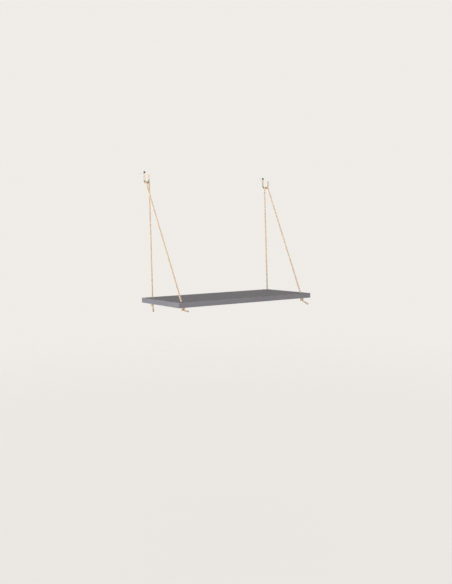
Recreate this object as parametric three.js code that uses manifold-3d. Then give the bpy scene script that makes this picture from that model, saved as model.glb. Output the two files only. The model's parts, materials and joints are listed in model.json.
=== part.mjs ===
import * as THREE from 'three';
import { mergeVertices } from 'three/addons/utils/BufferGeometryUtils.js';
import Module from 'manifold-3d';

// Sizes in millimetres. The origin is on the wall, midway between the two screws.
// +X runs right along the shelf, +Y into the wall and +Z up.

// Shelf board
const boardLength = 600;
const boardDepth = 270;
const boardThickness = 18;
const boardDrop = 465; // from the screws down to the board's top face
const boardEdgeEase = 1.5; // also round the holes
const holeDiameter = 10;
const holeSideInset = 27;
const holeFrontInset = 27;
const holeRearInset = 33;

// Hook, one flat strip bent to a J
const hookSideInset = 21.5; // from the end of the board to the middle of the hook
const stripWidth = 7;
const stripThickness = 1.6;
const stripEdgeEase = 0.3;
const hookBendRadius = 18.3; // to the outer face of the curl
const plateAboveScrew = 5;
const plateBelowScrew = 25.5;
const tipBelowScrew = 11;
const hookScrewHole = 4.2;

// Screw
const screwHeadDiameter = 7;
const screwHeadHeight = 2.4;
const screwHeadRim = 1;
const screwShankDiameter = 3.5;
const screwRootDiameter = 2.6;
const screwPitch = 2;
const screwLength = 30;
const screwPointLength = 5;
const recessLength = 4;
const recessWidth = 0.9;
const recessDepth = 1.3;
const screwSeat = 0.3;

// Wall plug
const plugDiameter = 6;
const plugLength = 32;
const plugBore = 4.1;
const plugCollarLength = 4;
const plugRibPitch = 3;
const plugRibDepth = 0.35;
const plugNoseDiameter = 5;
const plugSlotWidth = 0.9;
const plugSlotLength = 21;
const plugSeat = 2.2; // the plug is pushed in a little past the face of the wall

// Rope
const ropeDiameter = 6;
const ropeSeat = 0.5; // gap between the rope and the trough of the hook
const crownHalfLength = 3; // straight part of the rope in the trough, to each side
const bendDrop = 4; // height over which the rope turns down beside the strip
const strandSpread = 15; // between the two hanging strands at the hook
const strandSkew = 3.5; // how far the front strand starts ahead of the rear one
const bendGap = 0.96; // lets the strands sway under the bend
const mouthDepth = 1.5; // the strands pivot this far inside the holes
const stubGap = 0.4;
const crownLean_deg = 20;
const bendHandle_share = 0.7;

// Stopper knots and tails
const knotStrandSpacing = 3.7;
const knotRopeDiameter = 3.6; // pulled thin in the tight knot
const knotSeat = 0.3;
const knotWidening_share = 1.3; // the load flattens the knot against the board
const ropeTaperLength = 4;
const tailExitDrop = 0.5;
const tailClearHeading_deg = -60; // the side of the knot where the tail has a free way out
const nextTurn_share = 2; // stretches this many strand spacings apart along the rope lie on different turns

// Half of an overhand knot from its standing line to its far side, as shares of the strand spacing.
// Half a turn about X gives the other half.
const knotHalfRoute_shares = [
  [0.62, 0, 1.02],
  [0.52, -0.18, 0.55],
  [0.26, -0.47, 0.22],
  [-0.11, -0.5, -0.12],
  [-0.38, -0.29, -0.49],
  [-0.45, 0.08, -0.84],
  [-0.29, 0.5, -1.08],
  [0.05, 0.85, -1.17],
  [0.53, 1.03, -1.12],
  [0.99, 1, -0.93],
  [1.34, 0.78, -0.63],
  [1.48, 0.41, -0.3],
  [1.48, 0, 0],
];

const frontLeftTail = { length: 21, heading_deg: -60, droop_deg: 7 };
const frontRightTail = { length: 29, heading_deg: -62, droop_deg: 28 };
const rearLeftTail = { length: 23, heading_deg: -10, droop_deg: 84 };
const rearRightTail = { length: 19, heading_deg: -49, droop_deg: 62 };

// Mesh fineness
const weldDistance = 0.001;
const cutMargin = 1;
const edgeSteps = 3;
const holeSteps = 24;
const curlSteps = 14;
const latheSteps = 16;
const ropeSides = 12;
const bightRings = 28;
const knotRings = 76;
const domeSteps = 4;
const tailSteps = 6;
const gapSteps = 400;

// Positions that follow from the sizes
const X = new THREE.Vector3(1, 0, 0);
const Y = new THREE.Vector3(0, 1, 0);
const Z = new THREE.Vector3(0, 0, 1);
const ropeRadius = ropeDiameter / 2;
const hookX = boardLength / 2 - hookSideInset;
const holeX = boardLength / 2 - holeSideInset;
const frontHoleY = holeFrontInset - boardDepth;
const rearHoleY = -holeRearInset;
const boardTop = -boardDrop;
const boardUnderside = boardTop - boardThickness;
const strandPivotZ = boardTop - mouthDepth;
const hookInnerRadius = hookBendRadius - stripThickness;
const crownLean = THREE.MathUtils.degToRad(crownLean_deg);
const crownReach = hookInnerRadius - ropeRadius - ropeSeat;
const crownY = -hookBendRadius - crownReach * Math.sin(crownLean);
const crownZ = -plateBelowScrew - crownReach * Math.cos(crownLean);

const paint = material(0x76757a, 0.45, 0);
const jute = material(0xd9cfbd, 0.95, 0);
const brass = material(0xcfc2a4, 0.35, 0.9);
const darkSteel = material(0x4a433c, 0.5, 0.9);
const greyPlastic = material(0x9a9a98, 0.7, 0);

const wasm = await Module();
wasm.setup();

function material(color, roughness, metalness) {
  return new THREE.MeshStandardMaterial({ color, roughness, metalness });
}

function solidFrom(geometry) {
  const bare = geometry.clone();
  bare.deleteAttribute('normal');
  bare.deleteAttribute('uv');
  const welded = mergeVertices(bare, weldDistance);
  const mesh = new wasm.Mesh({
    numProp: 3,
    vertProperties: welded.attributes.position.array,
    triVerts: new Uint32Array(welded.index.array),
  });
  return new wasm.Manifold(mesh);
}

function geometryFrom(solid) {
  const mesh = solid.getMesh();
  const geometry = new THREE.BufferGeometry();
  geometry.setAttribute('position', new THREE.BufferAttribute(mesh.vertProperties, mesh.numProp));
  geometry.setIndex(new THREE.BufferAttribute(mesh.triVerts, 1));
  const faceted = geometry.toNonIndexed();
  faceted.computeVertexNormals();
  return faceted;
}

function lathe(profile) {
  const points = profile.map(([radius, height]) => new THREE.Vector2(radius, height));
  return new THREE.LatheGeometry(points, latheSteps);
}

// Board
function slabGeometry() {
  const half = boardLength / 2;
  const outline = new THREE.Shape();
  outline.moveTo(-half, -boardDepth);
  outline.lineTo(half, -boardDepth);
  outline.lineTo(half, 0);
  outline.lineTo(-half, 0);
  outline.closePath();
  const geometry = new THREE.ExtrudeGeometry(outline, {
    depth: boardThickness - 2 * boardEdgeEase,
    bevelThickness: boardEdgeEase,
    bevelSize: boardEdgeEase,
    bevelOffset: -boardEdgeEase,
    bevelSegments: edgeSteps,
  });
  return geometry.translate(0, 0, boardUnderside + boardEdgeEase);
}

// A hole is drilled along its rope, so the front holes slant forward as they go down.
function drillGeometry(line) {
  const radius = holeDiameter / 2;
  const drill = new THREE.CylinderGeometry(radius, radius, 2 * boardThickness, holeSteps);
  drill.applyQuaternion(new THREE.Quaternion().setFromUnitVectors(Y, line.way));
  const middle = pointAtHeight(line, boardTop - boardThickness / 2);
  return drill.translate(...middle.toArray());
}

// The cone that eases the rim of a hole. outward is 1 for the top mouth and -1 for the bottom one.
function rimGeometry(line, surface, outward) {
  const radius = holeDiameter / 2;
  const widest = radius + boardEdgeEase + cutMargin;
  const cone = new THREE.CylinderGeometry(widest, radius, boardEdgeEase + cutMargin, holeSteps);
  cone.translate(0, (cutMargin - boardEdgeEase) / 2, 0);
  cone.rotateX((outward * Math.PI) / 2);
  cone.scale(1, 1 / Math.abs(line.way.z), 1);
  const heading = Math.atan2(line.way.x, -line.way.y);
  cone.rotateZ(heading);
  return cone.translate(...pointAtHeight(line, surface).toArray());
}

function boardGeometry() {
  let board = solidFrom(slabGeometry());
  for (const side of [-1, 1]) {
    for (const isFront of [true, false]) {
      const line = strandLine(side, isFront);
      board = board.subtract(solidFrom(drillGeometry(line)));
      board = board.subtract(solidFrom(rimGeometry(line, boardTop, 1)));
      board = board.subtract(solidFrom(rimGeometry(line, boardUnderside, -1)));
    }
  }
  return geometryFrom(board);
}

// Hook
function hookProfile() {
  const profile = new THREE.Shape();
  const bendZ = -plateBelowScrew;
  profile.moveTo(0, plateAboveScrew);
  profile.lineTo(0, bendZ);
  profile.absarc(hookBendRadius, bendZ, hookBendRadius, Math.PI, 2 * Math.PI, false);
  profile.lineTo(2 * hookBendRadius, -tipBelowScrew);
  profile.lineTo(2 * hookBendRadius - stripThickness, -tipBelowScrew);
  profile.absarc(hookBendRadius, bendZ, hookInnerRadius, 2 * Math.PI, Math.PI, true);
  profile.lineTo(stripThickness, plateAboveScrew);
  profile.closePath();
  return profile;
}

// The bent strip before its ends are rounded. The profile's first axis points away from the wall.
function bentStrip() {
  const geometry = new THREE.ExtrudeGeometry(hookProfile(), {
    depth: stripWidth - 2 * stripEdgeEase,
    bevelThickness: stripEdgeEase,
    bevelSize: stripEdgeEase,
    bevelOffset: -stripEdgeEase,
    bevelSegments: 1,
    curveSegments: curlSteps,
  });
  geometry.translate(0, 0, stripEdgeEase - stripWidth / 2);
  const towardRoom = Y.clone().negate();
  const alongWidth = X.clone().negate();
  return geometry.applyMatrix4(new THREE.Matrix4().makeBasis(towardRoom, Z, alongWidth));
}

// A prism along Y with a round top, as wide as the strip, from y = back to y = front.
function roundTopPrism(topZ, back, front) {
  const half = stripWidth / 2;
  const outline = new THREE.Shape();
  outline.moveTo(-half, -plateBelowScrew - 2 * hookBendRadius);
  outline.lineTo(half, -plateBelowScrew - 2 * hookBendRadius);
  outline.lineTo(half, topZ - half);
  outline.absarc(0, topZ - half, half, 0, Math.PI, false);
  outline.closePath();
  const geometry = new THREE.ExtrudeGeometry(outline, {
    depth: back - front,
    bevelEnabled: false,
    curveSegments: curlSteps,
  });
  return geometry.rotateX(Math.PI / 2).translate(0, back, 0);
}

function hookGeometry() {
  const plateEnd = solidFrom(roundTopPrism(plateAboveScrew, cutMargin, -hookBendRadius));
  const front = -2 * hookBendRadius - cutMargin;
  const tipEnd = solidFrom(roundTopPrism(-tipBelowScrew, -hookBendRadius, front));
  const drill = new THREE.CylinderGeometry(
    hookScrewHole / 2,
    hookScrewHole / 2,
    stripThickness + 2 * cutMargin,
    latheSteps,
  );
  drill.translate(0, -stripThickness / 2, 0);
  const hook = solidFrom(bentStrip()).intersect(plateEnd.add(tipEnd)).subtract(solidFrom(drill));
  return geometryFrom(hook);
}

// Screw and plug, turned about Y
function screwProfile() {
  const root = screwRootDiameter / 2;
  const crest = screwShankDiameter / 2;
  const head = screwHeadDiameter / 2;
  const threadLength = screwLength - screwPointLength;
  const turns = Math.floor(threadLength / screwPitch);
  const profile = [[0, -screwLength]];
  for (let turn = 0; turn < turns; turn += 1) {
    const height = -threadLength + turn * screwPitch;
    profile.push([root, height]);
    profile.push([crest, height + screwPitch / 2]);
  }
  profile.push([root, -threadLength + turns * screwPitch]);
  profile.push([root, 0]);
  profile.push([head, 0]);
  profile.push([head, screwHeadRim]);
  for (let step = 1; step < domeSteps; step += 1) {
    const turn = (step / domeSteps) * (Math.PI / 2);
    const rise = (screwHeadHeight - screwHeadRim) * Math.sin(turn);
    profile.push([head * Math.cos(turn), screwHeadRim + rise]);
  }
  profile.push([0, screwHeadHeight]);
  return profile;
}

function screwGeometry() {
  const recessCentre = screwHeadHeight - recessDepth / 2 + cutMargin / 2;
  const recess = new THREE.BoxGeometry(recessLength, recessDepth + cutMargin, recessWidth);
  recess.translate(0, recessCentre, 0);
  const across = recess.clone().rotateY(Math.PI / 2);
  const cross = solidFrom(recess).add(solidFrom(across));
  const screw = solidFrom(lathe(screwProfile())).subtract(cross);
  return geometryFrom(screw).rotateX(Math.PI).translate(0, -stripThickness - screwSeat, 0);
}

function plugProfile() {
  const radius = plugDiameter / 2;
  const ribs = Math.floor((plugLength - 2 * plugCollarLength) / plugRibPitch);
  const profile = [[0, 0], [radius, 0], [radius, plugCollarLength]];
  for (let rib = 0; rib < ribs; rib += 1) {
    const start = plugCollarLength + rib * plugRibPitch;
    profile.push([radius - plugRibDepth, start]);
    profile.push([radius, start + plugRibPitch]);
  }
  profile.push([plugNoseDiameter / 2, plugLength]);
  profile.push([0, plugLength]);
  return profile;
}

function plugGeometry() {
  const bore = new THREE.CylinderGeometry(
    plugBore / 2,
    plugBore / 2,
    plugLength + 2 * cutMargin,
    latheSteps,
  );
  bore.translate(0, plugLength / 2, 0);
  const slotLength = plugSlotLength + cutMargin;
  const slot = new THREE.BoxGeometry(plugSlotWidth, slotLength, 2 * plugDiameter);
  slot.translate(0, plugLength - plugSlotLength + slotLength / 2, 0);
  const plug = solidFrom(lathe(plugProfile())).subtract(solidFrom(bore)).subtract(solidFrom(slot));
  return geometryFrom(plug).translate(0, plugSeat, 0);
}

// Rope, as a closed tube round a curve; radiusAt takes the distance along it
function ropeTube(curve, radiusAt, rings) {
  const frames = curve.computeFrenetFrames(rings, false);
  const length = curve.getLength();
  const positions = [];
  for (let ring = 0; ring <= rings; ring += 1) {
    const centre = curve.getPointAt(ring / rings);
    const radius = radiusAt((ring / rings) * length);
    for (let side = 0; side < ropeSides; side += 1) {
      const angle = (side / ropeSides) * 2 * Math.PI;
      const point = centre.clone();
      point.addScaledVector(frames.normals[ring], radius * Math.cos(angle));
      point.addScaledVector(frames.binormals[ring], radius * Math.sin(angle));
      positions.push(...point.toArray());
    }
  }
  positions.push(...curve.getPointAt(0).toArray(), ...curve.getPointAt(1).toArray());
  const geometry = new THREE.BufferGeometry();
  geometry.setAttribute('position', new THREE.Float32BufferAttribute(positions, 3));
  geometry.setIndex(tubeFaces(rings));
  geometry.computeVertexNormals();
  return geometry;
}

function tubeFaces(rings) {
  const faces = [];
  const startCentre = (rings + 1) * ropeSides;
  const endCentre = startCentre + 1;
  const lastRing = rings * ropeSides;
  for (let side = 0; side < ropeSides; side += 1) {
    const next = (side + 1) % ropeSides;
    for (let start = 0; start < lastRing; start += ropeSides) {
      const end = start + ropeSides;
      faces.push(start + side, start + next, end + side);
      faces.push(start + next, end + next, end + side);
    }
    faces.push(startCentre, next, side);
    faces.push(endCentre, lastRing + side, lastRing + next);
  }
  return faces;
}

function pointList(points) {
  return new THREE.CatmullRomCurve3(points, false, 'centripetal');
}

// A hanging strand's line: its foot in the hole, its start beside the hook, the step along it that goes
// down by one unit, and its direction. The front strand is on the outer side of its hook.
function strandLine(side, isFront) {
  const reach = isFront ? 1 : -1;
  const foot = new THREE.Vector3(side * holeX, isFront ? frontHoleY : rearHoleY, strandPivotZ);
  const start = new THREE.Vector3(
    side * (hookX + (reach * strandSpread) / 2),
    crownY - (reach * strandSkew) / 2,
    crownZ,
  );
  const down = foot.clone().sub(start).divideScalar(start.z - foot.z);
  return { foot, start, down, way: down.clone().normalize() };
}

function pointAtHeight(line, z) {
  return line.foot.clone().addScaledVector(line.down, line.foot.z - z);
}

// From the trough of the hook to the top of a strand
function bendCurve(side, isFront) {
  const { start, down } = strandLine(side, isFront);
  const outward = isFront ? side : -side;
  const crownEnd = new THREE.Vector3(side * hookX + outward * crownHalfLength, crownY, crownZ);
  const end = start.clone().addScaledVector(down, bendDrop);
  const handle = bendHandle_share * (strandSpread / 2 - crownHalfLength);
  return new THREE.CubicBezierCurve3(
    crownEnd,
    crownEnd.clone().addScaledVector(X, outward * handle),
    end.clone().addScaledVector(down, -bendHandle_share * bendDrop),
    end,
  );
}

function bightGeometry(side) {
  const rear = bendCurve(side, false);
  const front = bendCurve(side, true);
  const route = new THREE.CurvePath();
  route.add(new THREE.CubicBezierCurve3(rear.v3, rear.v2, rear.v1, rear.v0));
  route.add(new THREE.LineCurve3(rear.v0, front.v0));
  route.add(front);
  return ropeTube(route, () => ropeRadius, bightRings);
}

function strandGeometry(side, isFront) {
  const { foot, start, down, way } = strandLine(side, isFront);
  const top = start.clone().addScaledVector(down, bendDrop);
  top.addScaledVector(way, bendGap + ropeRadius);
  const capsule = new THREE.CapsuleGeometry(ropeRadius, top.distanceTo(foot), domeSteps, ropeSides);
  capsule.applyQuaternion(new THREE.Quaternion().setFromUnitVectors(Y, way));
  const middle = top.clone().lerp(foot, 0.5);
  return capsule.translate(...middle.toArray());
}

// The knot round its own middle, with the standing end of the rope on the Z axis
function knotPoints() {
  const half = knotHalfRoute_shares.map((share) => new THREE.Vector3(...share));
  const farHalf = half.slice(0, -1).reverse();
  const turned = farHalf.map((share) => new THREE.Vector3(share.x, -share.y, -share.z));
  const stem = new THREE.Vector3(half[0].x, 0, 0);
  const flattened = new THREE.Vector3(knotWidening_share, knotWidening_share, 1);
  flattened.multiplyScalar(knotStrandSpacing);
  return [...half, ...turned].map((share) => share.clone().sub(stem).multiply(flattened));
}

// How far the knot's middle hangs under the board once the knot is drawn up to the eased rim of its hole
function knotDrop(knot) {
  const clear = boardEdgeEase + knotRopeDiameter / 2 + knotSeat;
  const rimRadius = boardEdgeEase + holeDiameter / 2;
  const drops = knot.map((point) => {
    const inside = Math.max(0, rimRadius - Math.hypot(point.x, point.y));
    return point.z + Math.sqrt(Math.max(0, clear ** 2 - inside ** 2)) - boardEdgeEase;
  });
  return Math.max(...drops);
}

function tailCurve(exit, tail) {
  const heading = THREE.MathUtils.degToRad(tail.heading_deg);
  const droop = THREE.MathUtils.degToRad(tail.droop_deg);
  const way = X.clone().applyAxisAngle(Z, heading).multiplyScalar(Math.cos(droop));
  way.addScaledVector(Z, -Math.sin(droop));
  const bend = exit.clone().addScaledVector(Z, -tailExitDrop);
  const end = bend.clone().addScaledVector(way, tail.length);
  return new THREE.QuadraticBezierCurve3(exit, bend, end);
}

// The end of the rope on the board's side: a stub in the hole, the stopper knot and the tail
function ropeEnd(side, isFront, tail) {
  const line = strandLine(side, isFront);
  const stubTop = line.foot.clone().addScaledVector(line.way, ropeRadius + stubGap);
  const mouth = pointAtHeight(line, boardUnderside);
  const knot = knotPoints();
  const middle = mouth.clone().addScaledVector(Z, -knotDrop(knot));
  const turn = THREE.MathUtils.degToRad(tail.heading_deg - tailClearHeading_deg);
  for (const point of knot) {
    point.applyAxisAngle(Z, turn).add(middle);
  }
  const exit = knot[knot.length - 1];
  const tailPoints = tailCurve(exit, tail).getPoints(tailSteps).slice(1);
  const route = pointList([stubTop, mouth, ...knot, ...tailPoints]);
  return { route, radiusAt: ropeEndRadius(stubTop.distanceTo(mouth), route.getLength(), tail) };
}

// Full thickness in the hole and in the tail, pulled thin in the knot
function ropeEndRadius(stubLength, routeLength, tail) {
  const thin = knotRopeDiameter / 2;
  const thinStart = stubLength - ropeTaperLength;
  const tailStart = routeLength - tail.length;
  return (distance) => {
    const intoKnot = THREE.MathUtils.smoothstep(distance, thinStart, stubLength);
    const intoTail = THREE.MathUtils.smoothstep(distance, tailStart, tailStart + ropeTaperLength);
    return THREE.MathUtils.lerp(ropeRadius, thin, intoKnot - intoTail);
  };
}

// The least gap between the surfaces of two turns of one rope
function leastGap(route, radiusAt) {
  const points = route.getSpacedPoints(gapSteps);
  const step = route.getLength() / gapSteps;
  const apart = Math.ceil((nextTurn_share * knotStrandSpacing) / step);
  let least = Infinity;
  for (let first = 0; first < points.length; first += 1) {
    for (let second = first + apart; second < points.length; second += 1) {
      const radii = radiusAt(first * step) + radiusAt(second * step);
      least = Math.min(least, points[first].distanceTo(points[second]) - radii);
    }
  }
  return least;
}

const shelf = new THREE.Group();

function addPart(name, geometry, finish, x = 0) {
  const mesh = new THREE.Mesh(geometry, finish);
  mesh.name = name;
  mesh.position.x = x;
  shelf.add(mesh);
}

addPart('shelf_board', boardGeometry(), paint);
for (const [name, side] of [['left', -1], ['right', 1]]) {
  addPart(`${name}_hook`, hookGeometry(), brass, side * hookX);
  addPart(`${name}_hook_screw`, screwGeometry(), darkSteel, side * hookX);
  addPart(`${name}_wall_plug`, plugGeometry(), greyPlastic, side * hookX);
  addPart(`${name}_rope_bight`, bightGeometry(side), jute);
  addPart(`${name}_front_strand`, strandGeometry(side, true), jute);
  addPart(`${name}_rear_strand`, strandGeometry(side, false), jute);
}
const ropeEnds = [
  ['left_front_rope_end', -1, true, frontLeftTail],
  ['right_front_rope_end', 1, true, frontRightTail],
  ['left_rear_rope_end', -1, false, rearLeftTail],
  ['right_rear_rope_end', 1, false, rearRightTail],
];
for (const [name, side, isFront, tail] of ropeEnds) {
  const { route, radiusAt } = ropeEnd(side, isFront, tail);
  console.log(`${name}: least gap of the knot to itself ${leastGap(route, radiusAt).toFixed(2)} mm`);
  addPart(name, ropeTube(route, radiusAt, knotRings), jute);
}

export default shelf;
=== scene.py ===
import json
import math

import bpy
import numpy as np
from mathutils import Matrix, Vector

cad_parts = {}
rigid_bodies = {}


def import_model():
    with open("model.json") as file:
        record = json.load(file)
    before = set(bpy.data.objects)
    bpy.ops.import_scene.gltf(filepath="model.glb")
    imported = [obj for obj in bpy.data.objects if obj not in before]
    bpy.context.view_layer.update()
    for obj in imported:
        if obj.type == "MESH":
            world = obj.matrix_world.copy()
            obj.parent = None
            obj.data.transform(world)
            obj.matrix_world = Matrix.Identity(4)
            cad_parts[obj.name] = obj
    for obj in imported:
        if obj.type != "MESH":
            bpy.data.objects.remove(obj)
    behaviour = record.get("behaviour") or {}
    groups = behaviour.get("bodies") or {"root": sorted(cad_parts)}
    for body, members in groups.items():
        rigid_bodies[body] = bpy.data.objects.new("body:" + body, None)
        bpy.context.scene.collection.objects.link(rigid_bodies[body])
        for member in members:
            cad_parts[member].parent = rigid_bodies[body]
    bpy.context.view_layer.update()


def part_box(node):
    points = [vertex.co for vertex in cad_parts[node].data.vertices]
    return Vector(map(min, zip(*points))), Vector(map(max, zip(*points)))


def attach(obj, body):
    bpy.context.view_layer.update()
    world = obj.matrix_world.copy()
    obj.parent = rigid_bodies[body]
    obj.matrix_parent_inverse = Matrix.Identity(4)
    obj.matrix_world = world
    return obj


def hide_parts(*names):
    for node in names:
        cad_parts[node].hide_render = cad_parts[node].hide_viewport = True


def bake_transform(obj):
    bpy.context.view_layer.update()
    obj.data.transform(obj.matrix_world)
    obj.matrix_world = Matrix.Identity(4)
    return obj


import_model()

# Sizes in metres, as in the part. The origin is on the wall, midway between the screws.
HOLE_DIAMETER = 0.010
HOLE_SIDE_INSET = 0.027
HOLE_FRONT_INSET = 0.027
HOLE_REAR_INSET = 0.033
HOLE_SIDES = 64
BOARD_EDGE_EASE = 0.0015
BOARD_EDGE_STEPS = 4
EASED_ANGLE = math.radians(40)

HOOK_SIDE_INSET = 0.0215
STRIP_WIDTH = 0.007
STRIP_THICKNESS = 0.0016
STRIP_EDGE_EASE = 0.0003
HOOK_BEND_RADIUS = 0.0183
PLATE_ABOVE_SCREW = 0.005
PLATE_BELOW_SCREW = 0.0255
TIP_BELOW_SCREW = 0.011
HOOK_SCREW_HOLE = 0.0042
HOOK_HOLE_SIDES = 40
HOOK_SHARP_ANGLE = math.radians(40)
STRIP_STEPS = 120
STRIP_END_STEPS = 12
STRIP_EASE_STEPS = 3

SCREW_HEAD_DIAMETER = 0.007
SCREW_HEAD_HEIGHT = 0.0024
SCREW_HEAD_RIM = 0.001
SCREW_HEAD_EASE = 0.00015
SCREW_SEAT_SHARE = 0.97
DOME_TIP_SHARE = 0.02
DOME_STEPS = 10
SCREW_SHANK_DIAMETER = 0.0035
SCREW_ROOT_DIAMETER = 0.0026
SCREW_PITCH = 0.002
SCREW_LENGTH = 0.030
SCREW_POINT_LENGTH = 0.005
SCREW_POINT_SHARE = 0.12
THREAD_START_TURNS = 0.5
THREAD_CREST_POWER = 0.7
THREAD_STEPS = 150
SCREW_SIDES = 40
SCREW_SHARP_ANGLE = math.radians(30)
RECESS_LENGTH = 0.004
RECESS_WIDTH = 0.0009
RECESS_DEPTH = 0.0013
RECESS_TURN = math.radians(49)
SCREW_SEAT = 0.0003

PLUG_DIAMETER = 0.006
PLUG_LENGTH = 0.032
PLUG_BORE = 0.0041
PLUG_COLLAR_LENGTH = 0.004
PLUG_RIB_PITCH = 0.003
PLUG_RIB_DEPTH = 0.00035
PLUG_NOSE_DIAMETER = 0.005
PLUG_SLOT_WIDTH = 0.0009
PLUG_SLOT_LENGTH = 0.021
PLUG_SEAT = 0.0022
PLUG_SIDES = 48
PLUG_SHARP_ANGLE = math.radians(30)

# How far the tools that cut a piece reach past it
TOOL_REACH = 0.01
LONG_TOOL_REACH = 1

ROPE_DIAMETER = 0.006
ROPE_SEAT = 0.0005
CROWN_HALF_LENGTH = 0.003
BEND_DROP = 0.004
STRAND_SPREAD = 0.015
STRAND_SKEW = 0.0035
MOUTH_DEPTH = 0.0015
CROWN_LEAN = math.radians(20)
BEND_HANDLE_SHARE = 0.7
BEND_STEPS = 24
HANGING_ROPE_POINT_SPACING = 0.006

KNOT_STRAND_SPACING = 0.0037
KNOT_ROPE_DIAMETER = 0.0048
KNOT_SEAT = 0.0003
KNOT_WIDENING_SHARE = 1.3
ROPE_TAPER_LENGTH = 0.004
TAIL_EXIT_DROP = 0.0005
TAIL_CLEAR_HEADING = math.radians(-60)
KNOT_CURVE_STEPS = 8
TAIL_STEPS = 6
KNOTTED_END_POINT_SPACING = 0.002

# Half of an overhand knot, as shares of the strand spacing. Half a turn about X gives the rest.
KNOT_HALF_ROUTE_SHARES = [
    (0.62, 0, 1.02),
    (0.52, -0.18, 0.55),
    (0.26, -0.47, 0.22),
    (-0.11, -0.5, -0.12),
    (-0.38, -0.29, -0.49),
    (-0.45, 0.08, -0.84),
    (-0.29, 0.5, -1.08),
    (0.05, 0.85, -1.17),
    (0.53, 1.03, -1.12),
    (0.99, 1, -0.93),
    (1.34, 0.78, -0.63),
    (1.48, 0.41, -0.3),
    (1.48, 0, 0),
]

# Tail of each rope end: its length, its heading and its droop
TAILS = {
    "left_front": (0.021, math.radians(-60), math.radians(7)),
    "right_front": (0.029, math.radians(-62), math.radians(28)),
    "left_rear": (0.023, math.radians(-10), math.radians(84)),
    "right_rear": (0.019, math.radians(-49), math.radians(62)),
}

# Look of the laid rope
ROPE_LAY = 0.019
ROPE_STRANDS = 3
STRAND_SHARE = 0.54
ROPE_SIDES = 36
ROPE_RING_STEP = 0.0009
ROPE_TIP_SHARE = 0.02
NORMAL_HINT = (0.3, 0.9, 0.1)
SAME_PLACE = 1e-9

# Loose fibres that stand out of the rope, and the tuft at a cut end
FIBRES_PER_METRE = 700
FIBRE_LENGTHS = (0.001, 0.003)
FIBRE_RADIUS = 0.00006
FIBRE_LIFT = (0.2, 0.9)
FIBRE_SCATTER = 0.25
FIBRE_CURL = (0.1, 0.4)
FIBRE_ROOT_SHARE = 0.8
FIBRE_TAPER_SHARE = 0.8
FIBRE_RING_SHARES = (0, 0.35, 0.7, 1)
FIBRE_SIDES = 3
TUFT_FIBRES = 90
TUFT_LENGTHS = (0.0008, 0.0026)
TUFT_REACH_SHARE = 0.85
TUFT_SPREAD = 0.7
BARE_NEAR_HOOK = 0.03
BARE_NEAR_BOARD = 0.004
SEED = 11

# Colours, as shares of red, green and blue
PAINT_DARK = (0.150, 0.147, 0.162)
PAINT_LIGHT = (0.168, 0.165, 0.182)
PAINT_WORN = (0.30, 0.295, 0.30)
JUTE_DARK = (0.39, 0.27, 0.175)
JUTE_MIDDLE = (0.71, 0.555, 0.41)
JUTE_LIGHT = (0.93, 0.78, 0.62)
JUTE_WARM_TINT = (0.88, 0.83, 0.74)
# Painted shade on the last stretch of each knotted tail, standing in for the board's shade over the knots
KNOTTED_TAIL_PAINTED_SHADE = (0.74, 0.7, 0.68)
NO_TINT = (1, 1, 1)
BRASS_DARK = (0.62, 0.53, 0.41)
BRASS_LIGHT = (0.75, 0.655, 0.53)
STEEL_DARK = (0.055, 0.045, 0.038)
STEEL_LIGHT = (0.16, 0.13, 0.11)
PLASTIC_DARK = (0.50, 0.48, 0.455)
PLASTIC_LIGHT = (0.57, 0.545, 0.515)

# Sizes in the materials, in metres: worn edges, bump depths and the shaded stretch of a tail
EDGE_WEAR_WIDTH = 0.0016
GRAIN_DEPTH = 0.00025
ROLLED_DEPTH = 0.00015
STIPPLE_DEPTH = 0.00006
YARN_DEPTH = 0.0001
FIBRE_DEPTH = 0.00015
FINE_DEPTH = 0.00003
TAIL_SHADE_SPAN = (0.010, 0.018)

# How much finer each pattern is along X, Y and Z, or round and along the rope's fibres
BOARD_GRAIN_FINENESS = (4, 110, 110)
ROLLED_FINENESS = (1, 4, 4)
YARN_FINENESS = (500, 500, 60)
FIBRE_FINENESS = (2600, 2600, 160)
PATCH_FINENESS = (90, 90, 60)
SCRATCH_FINENESS = (1400, 160, 160)
NOISE_ROUGHNESS = 0.6

# Where a pattern's values turn from one shade to the next
EVEN_SPAN = (0.3, 0.7)
PAINT_PATCH_SPAN = (0.35, 0.65)
BOARD_GRAIN_SPAN = (0.35, 0.6)
RUBBED_SPAN = (0.42, 0.62)
STEEL_WEAR_SPAN = (0.35, 0.75)
JUTE_STOPS = (0.3, 0.48, 0.68)
YARN_GAP_SPAN = (0, 0.5)
GROOVE_SPAN = (0.6, 0.9)

YARNS_PER_STRAND = 8
# Painted shade in the grooves between the rope's strands, lighter on the knots
ROPE_GROOVE_SHADE = 0.45
KNOT_GROOVE_SHADE = 0.8

# Camera, fitted to the photograph
CAMERA_PLACE = (-1.3965, -2.1217, -0.2529)
CAMERA_YAW = math.radians(34.91)
CAMERA_PITCH = math.radians(4.69)
CAMERA_ROLL = math.radians(-0.66)
CAMERA_LENS = 50.60
CAMERA_SENSOR = 36

# Floor, surroundings and lights
FLOOR_DEPTH = 1.35
FLOOR_HALF = 6
FLOOR_FADE_START = 1.5
FLOOR_FADE_END = 5
FLOOR_COLOR = (0.76, 0.745, 0.725)
FLOOR_GLOW = 0.62
BACKGROUND = (0.866, 0.842, 0.81)
OVERHEAD = (0.30, 0.29, 0.28)
OVERHEAD_SPAN = (0.35, 0.7)
LIGHT_AIM = (0, -0.135, -0.3)
FRONT_LIGHT_PLACE = (-0.3, -4.0, 0.9)
FRONT_LIGHT_WIDTH = 4
FRONT_LIGHT_POWER = 72
FRONT_LIGHT_COLOR = (1, 0.98, 0.95)
LEFT_LIGHT_PLACE = (-6, -0.6, -0.6)
LEFT_LIGHT_WIDTH = 7
LEFT_LIGHT_POWER = 680
LEFT_LIGHT_COLOR = (0.95, 0.97, 1)

X = Vector((1, 0, 0))
Y = Vector((0, 1, 0))
Z = Vector((0, 0, 1))

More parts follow.
